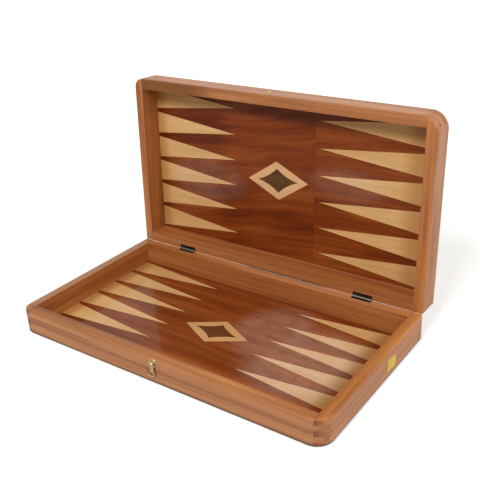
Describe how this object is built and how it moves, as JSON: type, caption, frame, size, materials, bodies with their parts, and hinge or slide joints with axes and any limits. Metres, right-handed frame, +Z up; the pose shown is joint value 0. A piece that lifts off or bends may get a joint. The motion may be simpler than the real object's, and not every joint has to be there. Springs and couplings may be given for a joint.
{
  "type": "folding chess and backgammon board",
  "caption": "Hinged wooden board case: inlaid backgammon points and diamonds inside, a chequered board outside, finger-jointed walls and a hook catch.",
  "frame": {"origin": "middle of the lower half's underside", "axes": "+Z up, +X along the hinge line to the right, +Y towards the hinges and the opened upper half"},
  "size_m": [0.3802, 0.25, 0.2426],
  "materials": {
    "wall_wood": "satin lacquer",
    "core_board": "raw",
    "field_veneer": "gloss lacquer",
    "light_veneer": "gloss lacquer",
    "dark_veneer": "gloss lacquer",
    "hinge_steel": "darkened",
    "catch_brass": "polished",
    "yellow_paper": "matt paper"
  },
  "bodies": {
    "tray": {"tray_front_wall": "wall_wood", "tray_back_wall": "wall_wood", "tray_left_wall": "wall_wood", "tray_right_wall": "wall_wood", "tray_panel": "core_board", "tray_chess_border": "dark_veneer", "tray_chess_dark": "dark_veneer", "tray_chess_light": "light_veneer", "tray_field_left": "field_veneer", "tray_field_middle": "field_veneer", "tray_field_right": "field_veneer", "tray_points_left": "light_veneer", "tray_points_right": "light_veneer", "tray_diamond": "light_veneer", "tray_heart": "dark_veneer", "hinge_left_tray_leaf": "hinge_steel", "hinge_left_pin": "hinge_steel", "hinge_left_tray_screws": "hinge_steel", "hinge_right_tray_leaf": "hinge_steel", "hinge_right_pin": "hinge_steel", "hinge_right_tray_screws": "hinge_steel", "catch_rosette": "catch_brass", "catch_screw": "catch_brass", "paper_slip": "yellow_paper"},
    "lid": {"lid_front_wall": "wall_wood", "lid_back_wall": "wall_wood", "lid_left_wall": "wall_wood", "lid_right_wall": "wall_wood", "lid_panel": "core_board", "lid_chess_border": "dark_veneer", "lid_chess_dark": "dark_veneer", "lid_chess_light": "light_veneer", "lid_field_left": "field_veneer", "lid_field_middle": "field_veneer", "lid_field_right": "field_veneer", "lid_points_left": "light_veneer", "lid_points_right": "light_veneer", "lid_diamond": "light_veneer", "lid_heart": "dark_veneer", "hinge_left_lid_leaf": "hinge_steel", "hinge_left_lid_screws": "hinge_steel", "hinge_right_lid_leaf": "hinge_steel", "hinge_right_lid_screws": "hinge_steel", "stud_rosette": "catch_brass", "stud": "catch_brass"},
    "hook": {"catch_hook": "catch_brass"}
  },
  "joints": [
    {"name": "lid_hinge", "type": "hinge", "parent": "tray", "child": "lid", "pos_m": [0, 0.10405, 0.03105], "axis": [-1, 0, 0], "range_deg": [-92, 88]},
    {"name": "hook_swing", "type": "hinge", "parent": "tray", "child": "hook", "pos_m": [0, -0.104, 0.0245], "axis": [0, 1, 0], "range_deg": [-90, 180]}
  ]
}
